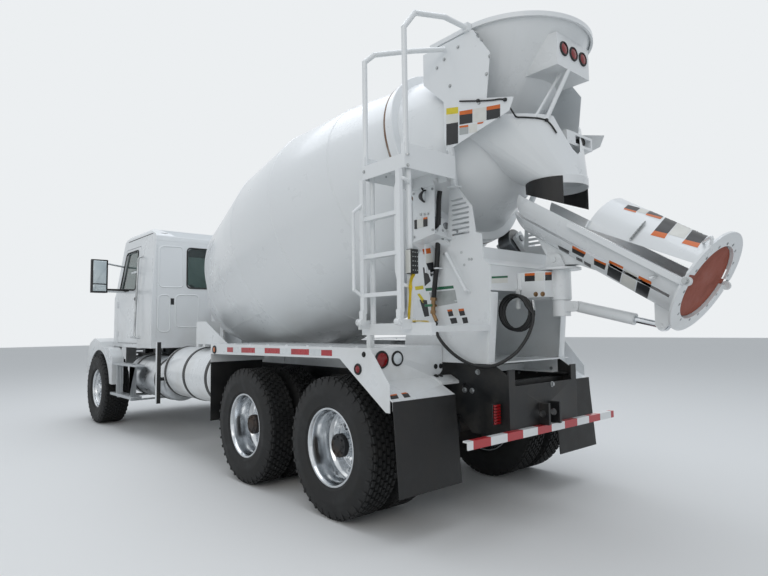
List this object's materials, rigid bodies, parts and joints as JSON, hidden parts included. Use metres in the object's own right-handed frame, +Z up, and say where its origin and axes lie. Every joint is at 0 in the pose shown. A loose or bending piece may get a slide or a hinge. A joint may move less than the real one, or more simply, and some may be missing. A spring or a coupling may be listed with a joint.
{
  "type": "concrete mixer truck",
  "caption": "Rear-discharge concrete mixer truck with turning drum, charge hopper, swinging and folding chutes, steering, opening doors, tilting hood and folding ladder",
  "frame": {"origin": "on the ground under the middle of the whole truck", "axes": "+X forward, +Y to the truck's left, +Z up"},
  "size_m": [9.5583, 3.2256, 3.7094],
  "materials": {
    "white_paint": "gloss",
    "black_paint": "satin",
    "bare_steel": "satin",
    "chromed_steel": "polished",
    "polished_aluminium": "polished",
    "tyre_rubber": "matt",
    "sheet_rubber": "matt",
    "hose_rubber": "satin",
    "window_glass": "gloss",
    "seat_fabric": "matt",
    "dash_plastic": "matt",
    "red_lens": "gloss",
    "red_tape": "gloss",
    "orange_poly": "matt"
  },
  "bodies": {
    "root": {"frame": "black_paint", "rear_frame": "black_paint", "rear_bar": "red_tape", "suspension": "black_paint", "front_axle": "black_paint", "drive_axles": "black_paint", "engine": "bare_steel", "front_bumper": "chromed_steel", "cab_floor": "white_paint", "cab_back": "white_paint", "cab_roof": "white_paint", "cab_sides": "white_paint", "cab_glass": "window_glass", "seats": "seat_fabric", "dash": "dash_plastic", "fuel_tank": "polished_aluminium", "water_tank": "white_paint", "tank_mounts": "polished_aluminium", "side_steps": "polished_aluminium", "subframe": "white_paint", "fenders": "white_paint", "rubber_flaps": "sheet_rubber", "rear_pedestal": "white_paint", "charge_hopper": "white_paint", "collector": "white_paint", "platform": "white_paint", "lamps": "red_lens", "hose_lead": "hose_rubber", "hose_coil": "hose_rubber"},
    "drum": {"drum": "white_paint"},
    "roller_left": {"roller_left": "bare_steel"},
    "roller_right": {"roller_right": "bare_steel"},
    "knuckle_left": {"knuckle_left": "black_paint"},
    "knuckle_right": {"knuckle_right": "black_paint"},
    "tie_rod": {"tie_rod": "black_paint"},
    "wheel_front_left": {"tyre_front_left": "tyre_rubber", "rim_front_left": "polished_aluminium"},
    "wheel_front_right": {"tyre_front_right": "tyre_rubber", "rim_front_right": "polished_aluminium"},
    "wheels_fore_left": {"tyres_fore_left": "tyre_rubber", "rims_fore_left": "polished_aluminium"},
    "wheels_fore_right": {"tyres_fore_right": "tyre_rubber", "rims_fore_right": "polished_aluminium"},
    "wheels_aft_left": {"tyres_aft_left": "tyre_rubber", "rims_aft_left": "polished_aluminium"},
    "wheels_aft_right": {"tyres_aft_right": "tyre_rubber", "rims_aft_right": "polished_aluminium"},
    "door_left": {"door_left": "white_paint", "door_glass_left": "window_glass"},
    "door_right": {"door_right": "white_paint", "door_glass_right": "window_glass"},
    "hood": {"hood": "white_paint", "grille": "chromed_steel"},
    "ladder": {"ladder": "white_paint"},
    "swing_arm": {"swing_arm": "white_paint"},
    "chute": {"chute": "white_paint", "chute_cover": "orange_poly"},
    "fold_chute": {"fold_chute": "white_paint"},
    "lift_barrel": {"lift_barrel": "white_paint"},
    "lift_rod": {"lift_rod": "chromed_steel"}
  },
  "joints": [
    {"name": "drum_spin", "type": "hinge", "parent": "root", "child": "drum", "pos_m": [1.67, 0, 1.732], "axis": [-0.9632, 0, 0.2689], "continuous": true},
    {"name": "roller_left_spin", "type": "hinge", "parent": "root", "child": "roller_left", "pos_m": [-2.80505, 0.49589, 2.18864], "axis": [-0.9632, 0, 0.2689], "continuous": true},
    {"name": "roller_right_spin", "type": "hinge", "parent": "root", "child": "roller_right", "pos_m": [-2.80505, -0.49589, 2.18864], "axis": [-0.9632, 0, 0.2689], "continuous": true},
    {"name": "steer_left", "type": "hinge", "parent": "root", "child": "knuckle_left", "pos_m": [3.915, 0.85, 0.536], "axis": [0, 0, 1], "range_deg": [-35, 35]},
    {"name": "steer_right", "type": "hinge", "parent": "root", "child": "knuckle_right", "pos_m": [3.915, -0.85, 0.536], "axis": [0, 0, 1], "range_deg": [-35, 35]},
    {"name": "tie_rod_pin", "type": "hinge", "parent": "knuckle_left", "child": "tie_rod", "pos_m": [3.715, 0.85, 0.41], "axis": [0, 0, 1], "range_deg": [-35, 35]},
    {"name": "wheel_front_left_spin", "type": "hinge", "parent": "knuckle_left", "child": "wheel_front_left", "pos_m": [3.915, 1.094, 0.536], "axis": [0, 1, 0], "continuous": true},
    {"name": "wheel_front_right_spin", "type": "hinge", "parent": "knuckle_right", "child": "wheel_front_right", "pos_m": [3.915, -1.094, 0.536], "axis": [0, 1, 0], "continuous": true},
    {"name": "wheels_fore_left_spin", "type": "hinge", "parent": "root", "child": "wheels_fore_left", "pos_m": [-0.958, 0.922, 0.532], "axis": [0, 1, 0], "continuous": true},
    {"name": "wheels_fore_right_spin", "type": "hinge", "parent": "root", "child": "wheels_fore_right", "pos_m": [-0.958, -0.922, 0.532], "axis": [0, 1, 0], "continuous": true},
    {"name": "wheels_aft_left_spin", "type": "hinge", "parent": "root", "child": "wheels_aft_left", "pos_m": [-2.33, 0.922, 0.532], "axis": [0, 1, 0], "continuous": true},
    {"name": "wheels_aft_right_spin", "type": "hinge", "parent": "root", "child": "wheels_aft_right", "pos_m": [-2.33, -0.922, 0.532], "axis": [0, 1, 0], "continuous": true},
    {"name": "door_left_hinge", "type": "hinge", "parent": "root", "child": "door_left", "pos_m": [3.627, 1.059, 1.9], "axis": [0, 0, -1], "range_deg": [0, 70]},
    {"name": "door_right_hinge", "type": "hinge", "parent": "root", "child": "door_right", "pos_m": [3.627, -1.059, 1.9], "axis": [0, 0, 1], "range_deg": [0, 70]},
    {"name": "hood_tilt", "type": "hinge", "parent": "root", "child": "hood", "pos_m": [4.615, 0, 0.8], "axis": [0, 1, 0], "range_deg": [0, 75]},
    {"name": "ladder_fold", "type": "hinge", "parent": "root", "child": "ladder", "pos_m": [-3.04, 1.262, 1.47], "axis": [-1, 0, 0], "range_deg": [0, 172]},
    {"name": "chute_swing", "type": "hinge", "parent": "root", "child": "swing_arm", "pos_m": [-3.6, 0, 1.73], "axis": [0, 0, 1], "range_deg": [-80, 80]},
    {"name": "chute_lift", "type": "hinge", "parent": "swing_arm", "child": "chute", "pos_m": [-3.6, 0, 1.915], "axis": [0, 1, 0], "range_deg": [0, 24]},
    {"name": "chute_fold", "type": "hinge", "parent": "chute", "child": "fold_chute", "pos_m": [-4.6007, 0, 1.6747], "axis": [0, -1, 0], "range_deg": [0, 180]},
    {"name": "lift_barrel_pin", "type": "hinge", "parent": "swing_arm", "child": "lift_barrel", "pos_m": [-3.72, 0, 1.57], "axis": [0, 1, 0], "range_deg": [0, 29.1]},
    {"name": "lift_rod_slide", "type": "slide", "parent": "lift_barrel", "child": "lift_rod", "axis": [-0.9713, 0, -0.2379], "range_m": [0, 0.1436]}
  ],
  "couplings": [
    {"joint": "roller_left_spin", "follows": "drum_spin", "ratio": -7.2727},
    {"joint": "roller_right_spin", "follows": "drum_spin", "ratio": -7.2727},
    {"joint": "steer_right", "follows": "steer_left", "ratio": 1},
    {"joint": "tie_rod_pin", "follows": "steer_left", "ratio": -1},
    {"joint": "lift_barrel_pin", "follows": "chute_lift", "ratio": 1.19},
    {"joint": "lift_rod_slide", "follows": "chute_lift", "m_per_rad": 0.338}
  ]
}
